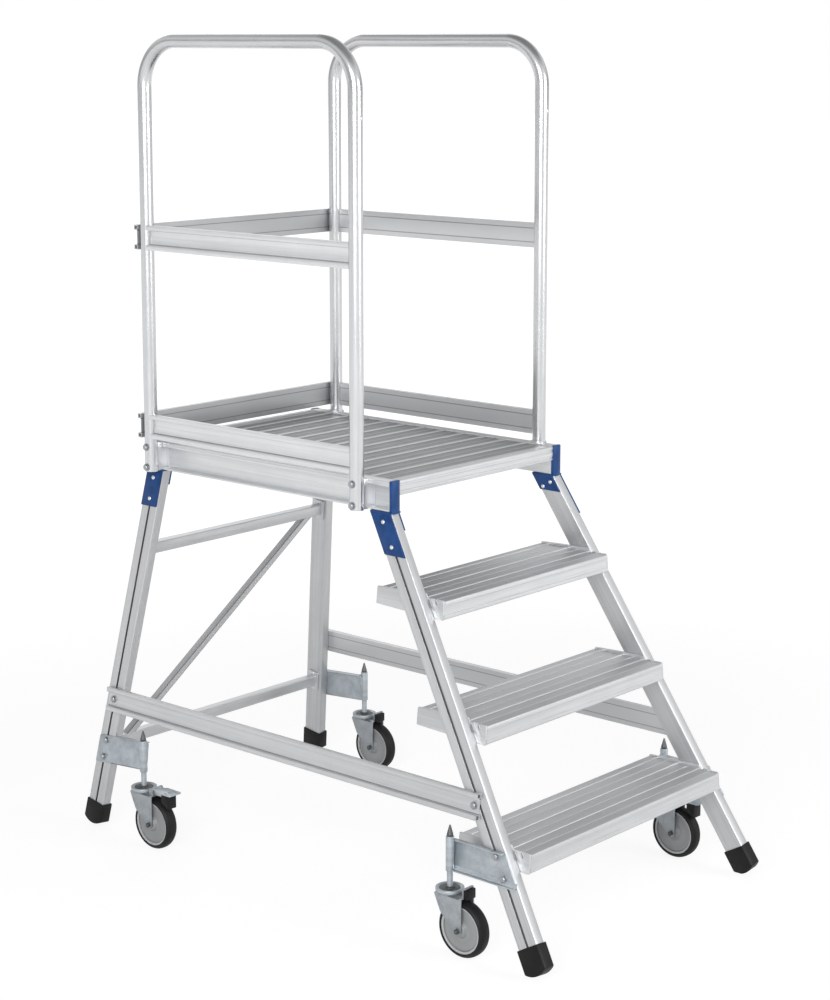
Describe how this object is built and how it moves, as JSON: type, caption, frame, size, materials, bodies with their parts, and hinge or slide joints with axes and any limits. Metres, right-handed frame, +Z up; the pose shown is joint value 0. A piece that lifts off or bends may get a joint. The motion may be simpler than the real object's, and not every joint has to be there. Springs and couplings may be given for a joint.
{
  "type": "podium step",
  "caption": "Mobile work platform with splayed legs, ridged treads up to a guarded deck, hoop handrails with knee and toe boards, and sprung swivel castors with brake pedals",
  "frame": {"origin": "on the floor under the wheels, in the middle of the step's width and length", "axes": "+X to the right of a person climbing, -Y towards that person (the treads face -Y), +Z up"},
  "size_m": [0.8408, 1.4406, 1.926],
  "materials": {
    "leg_aluminium": "mill-finished extrusion, drawn lines along the profile",
    "tread_aluminium": "mill-finished extrusion, slightly dull",
    "plate_aluminium": "mill-finished plate and tube",
    "profile_aluminium": "mill-finished extrusion",
    "tube_aluminium": "smooth drawn tube",
    "blue_paint": "powder coat, satin",
    "zinc_steel": "zinc plated",
    "bolt_steel": "zinc plated, dull",
    "rivet_aluminium": "pressed rivet heads",
    "spring_steel": "drawn wire",
    "black_rubber": "matt moulded rubber",
    "wheel_plastic": "grey moulded wheel centre",
    "tyre_rubber": "smooth black rubber"
  },
  "bodies": {
    "frame": {"stile_left": "leg_aluminium", "stile_right": "leg_aluminium", "rear_leg_left": "leg_aluminium", "rear_leg_right": "leg_aluminium", "rubber_boots": "black_rubber", "tread_lower": "tread_aluminium", "tread_middle": "tread_aluminium", "tread_upper": "tread_aluminium", "tread_end_plates": "plate_aluminium", "deck_planks": "tread_aluminium", "side_rail_left": "profile_aluminium", "side_rail_right": "profile_aluminium", "front_nosing": "tread_aluminium", "rear_crossrail": "tread_aluminium", "corner_bracket_front_left": "blue_paint", "corner_bracket_front_right": "blue_paint", "corner_bracket_rear_left": "blue_paint", "corner_bracket_rear_right": "blue_paint", "side_brace_left": "profile_aluminium", "side_brace_right": "profile_aluminium", "rear_brace_upper": "plate_aluminium", "rear_brace_lower": "plate_aluminium", "rear_diagonal": "plate_aluminium", "hoop_left": "tube_aluminium", "hoop_right": "tube_aluminium", "knee_rail_left": "profile_aluminium", "knee_rail_right": "profile_aluminium", "knee_rail_rear": "profile_aluminium", "toe_board_left": "profile_aluminium", "toe_board_right": "profile_aluminium", "toe_board_rear": "profile_aluminium", "upright_spacers": "profile_aluminium", "bolts": "bolt_steel", "rivets": "rivet_aluminium", "castor_bracket_front_left": "zinc_steel", "castor_bracket_front_right": "zinc_steel", "castor_bracket_rear_left": "zinc_steel", "castor_bracket_rear_right": "zinc_steel", "spring_front_left": "spring_steel", "spring_front_right": "spring_steel", "spring_rear_left": "spring_steel", "spring_rear_right": "spring_steel"},
    "plunger_front_left": {"stem_front_left": "zinc_steel"},
    "swivel_front_left": {"fork_front_left": "zinc_steel"},
    "roller_front_left": {"wheel_front_left": "wheel_plastic", "tyre_front_left": "tyre_rubber"},
    "plunger_front_right": {"stem_front_right": "zinc_steel"},
    "swivel_front_right": {"fork_front_right": "zinc_steel"},
    "roller_front_right": {"wheel_front_right": "wheel_plastic", "tyre_front_right": "tyre_rubber"},
    "plunger_rear_left": {"stem_rear_left": "zinc_steel"},
    "swivel_rear_left": {"fork_rear_left": "zinc_steel"},
    "roller_rear_left": {"wheel_rear_left": "wheel_plastic", "tyre_rear_left": "tyre_rubber"},
    "plunger_rear_right": {"stem_rear_right": "zinc_steel"},
    "swivel_rear_right": {"fork_rear_right": "zinc_steel"},
    "roller_rear_right": {"wheel_rear_right": "wheel_plastic", "tyre_rear_right": "tyre_rubber"},
    "pedal_front_right": {"brake_front_right": "zinc_steel"},
    "pedal_rear_left": {"brake_rear_left": "zinc_steel"}
  },
  "joints": [
    {"name": "plunger_slide_front_left", "type": "slide", "parent": "frame", "child": "plunger_front_left", "axis": [0, 0, 1], "range_m": [0, 0.01], "stiffness_N_per_m": 7000, "springref_m": -0.0186, "deforming": ["spring_front_left"]},
    {"name": "fork_swivel_front_left", "type": "hinge", "parent": "plunger_front_left", "child": "swivel_front_left", "pos_m": [-0.38939, -0.45582, 0.138], "axis": [0, 0, 1], "continuous": true},
    {"name": "wheel_spin_front_left", "type": "hinge", "parent": "swivel_front_left", "child": "roller_front_left", "pos_m": [-0.38939, -0.49582, 0.0625], "axis": [1, 0, 0], "continuous": true},
    {"name": "plunger_slide_front_right", "type": "slide", "parent": "frame", "child": "plunger_front_right", "axis": [0, 0, 1], "range_m": [0, 0.01], "stiffness_N_per_m": 7000, "springref_m": -0.0186, "deforming": ["spring_front_right"]},
    {"name": "fork_swivel_front_right", "type": "hinge", "parent": "plunger_front_right", "child": "swivel_front_right", "pos_m": [0.38939, -0.45582, 0.138], "axis": [0, 0, 1], "continuous": true},
    {"name": "wheel_spin_front_right", "type": "hinge", "parent": "swivel_front_right", "child": "roller_front_right", "pos_m": [0.38939, -0.49582, 0.0625], "axis": [1, 0, 0], "continuous": true},
    {"name": "brake_pedal_front_right", "type": "hinge", "parent": "swivel_front_right", "child": "pedal_front_right", "pos_m": [0.38939, -0.49882, 0.146], "axis": [1, 0, 0], "range_deg": [0, 10]},
    {"name": "plunger_slide_rear_left", "type": "slide", "parent": "frame", "child": "plunger_rear_left", "axis": [0, 0, 1], "range_m": [0, 0.01], "stiffness_N_per_m": 7000, "springref_m": -0.0186, "deforming": ["spring_rear_left"]},
    {"name": "fork_swivel_rear_left", "type": "hinge", "parent": "plunger_rear_left", "child": "swivel_rear_left", "pos_m": [-0.38939, 0.51054, 0.138], "axis": [0, 0, 1], "continuous": true},
    {"name": "wheel_spin_rear_left", "type": "hinge", "parent": "swivel_rear_left", "child": "roller_rear_left", "pos_m": [-0.38939, 0.47054, 0.0625], "axis": [1, 0, 0], "continuous": true},
    {"name": "brake_pedal_rear_left", "type": "hinge", "parent": "swivel_rear_left", "child": "pedal_rear_left", "pos_m": [-0.38939, 0.46754, 0.146], "axis": [1, 0, 0], "range_deg": [0, 10]},
    {"name": "plunger_slide_rear_right", "type": "slide", "parent": "frame", "child": "plunger_rear_right", "axis": [0, 0, 1], "range_m": [0, 0.01], "stiffness_N_per_m": 7000, "springref_m": -0.0186, "deforming": ["spring_rear_right"]},
    {"name": "fork_swivel_rear_right", "type": "hinge", "parent": "plunger_rear_right", "child": "swivel_rear_right", "pos_m": [0.38939, 0.51054, 0.138], "axis": [0, 0, 1], "continuous": true},
    {"name": "wheel_spin_rear_right", "type": "hinge", "parent": "swivel_rear_right", "child": "roller_rear_right", "pos_m": [0.38939, 0.47054, 0.0625], "axis": [1, 0, 0], "continuous": true}
  ]
}
